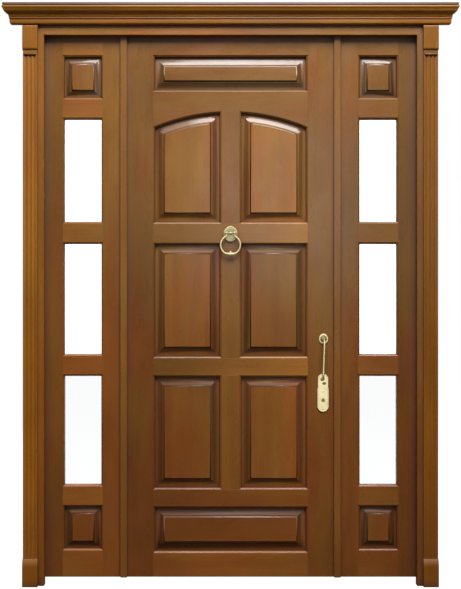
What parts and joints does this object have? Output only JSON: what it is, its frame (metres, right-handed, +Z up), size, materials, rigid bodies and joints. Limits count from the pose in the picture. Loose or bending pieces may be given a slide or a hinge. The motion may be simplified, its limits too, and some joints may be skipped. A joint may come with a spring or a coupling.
{
  "type": "door with sidelights",
  "caption": "Panelled wooden entrance door with an arched rail, between glazed panelled sidelights, under a moulded crown with fluted casings.",
  "frame": {"origin": "on the outer face of the left jamb, at the floor, in the plane of the jambs' front faces", "axes": "+X from the left jamb to the right one, +Y into the building, +Z up"},
  "size_m": [1.814, 0.177, 2.325],
  "materials": {
    "varnished_wood": "varnished hardwood, satin",
    "casing_wood": "varnished hardwood, satin, a little more golden",
    "brass": "polished, lacquered",
    "clear_glass": "clear"
  },
  "bodies": {
    "frame": {"left_jamb": "varnished_wood", "right_jamb": "varnished_wood", "head_jamb": "varnished_wood", "left_mullion": "varnished_wood", "right_mullion": "varnished_wood", "left_casing": "casing_wood", "right_casing": "casing_wood", "left_plinth_block": "casing_wood", "right_plinth_block": "casing_wood", "left_capital_block": "casing_wood", "right_capital_block": "casing_wood", "header_board": "casing_wood", "crown_front": "casing_wood", "crown_returns": "casing_wood", "crown_cap": "casing_wood", "left_sidelight_stiles": "varnished_wood", "left_sidelight_rails": "varnished_wood", "left_sidelight_panels": "varnished_wood", "left_sidelight_glass": "clear_glass", "left_sidelight_beads": "varnished_wood", "right_sidelight_stiles": "varnished_wood", "right_sidelight_rails": "varnished_wood", "right_sidelight_panels": "varnished_wood", "right_sidelight_glass": "clear_glass", "right_sidelight_beads": "varnished_wood", "frame_hinge_leaves": "brass", "strike_plate": "brass"},
    "door_leaf": {"door_hinge_stile": "varnished_wood", "door_latch_stile": "varnished_wood", "door_top_rail": "varnished_wood", "door_arched_rail": "varnished_wood", "door_knocker_rail": "varnished_wood", "door_middle_rail": "varnished_wood", "door_lock_rail": "varnished_wood", "door_bottom_rail": "varnished_wood", "door_muntins": "varnished_wood", "door_top_panel": "varnished_wood", "door_upper_panels": "varnished_wood", "door_middle_panels": "varnished_wood", "door_lower_panels": "varnished_wood", "door_bottom_panel": "varnished_wood", "door_hinge_leaves": "brass", "knocker_rose": "brass", "pull_handle": "brass", "lock_plate": "brass", "key_cylinder": "brass", "inside_plate": "brass", "inside_lever": "brass", "latch_faceplate": "brass"},
    "knocker_ring": {"knocker_ring": "brass"}
  },
  "joints": [
    {"name": "door_hinges", "type": "hinge", "parent": "frame", "child": "door_leaf", "pos_m": [0.3675, 0.0895, 1.121], "axis": [0, 0, 1], "range_deg": [0, 110]},
    {"name": "knocker_pivot", "type": "hinge", "parent": "door_leaf", "child": "knocker_ring", "pos_m": [0.795, 0.019, 1.414], "axis": [-1, 0, 0], "range_deg": [0, 100]}
  ]
}
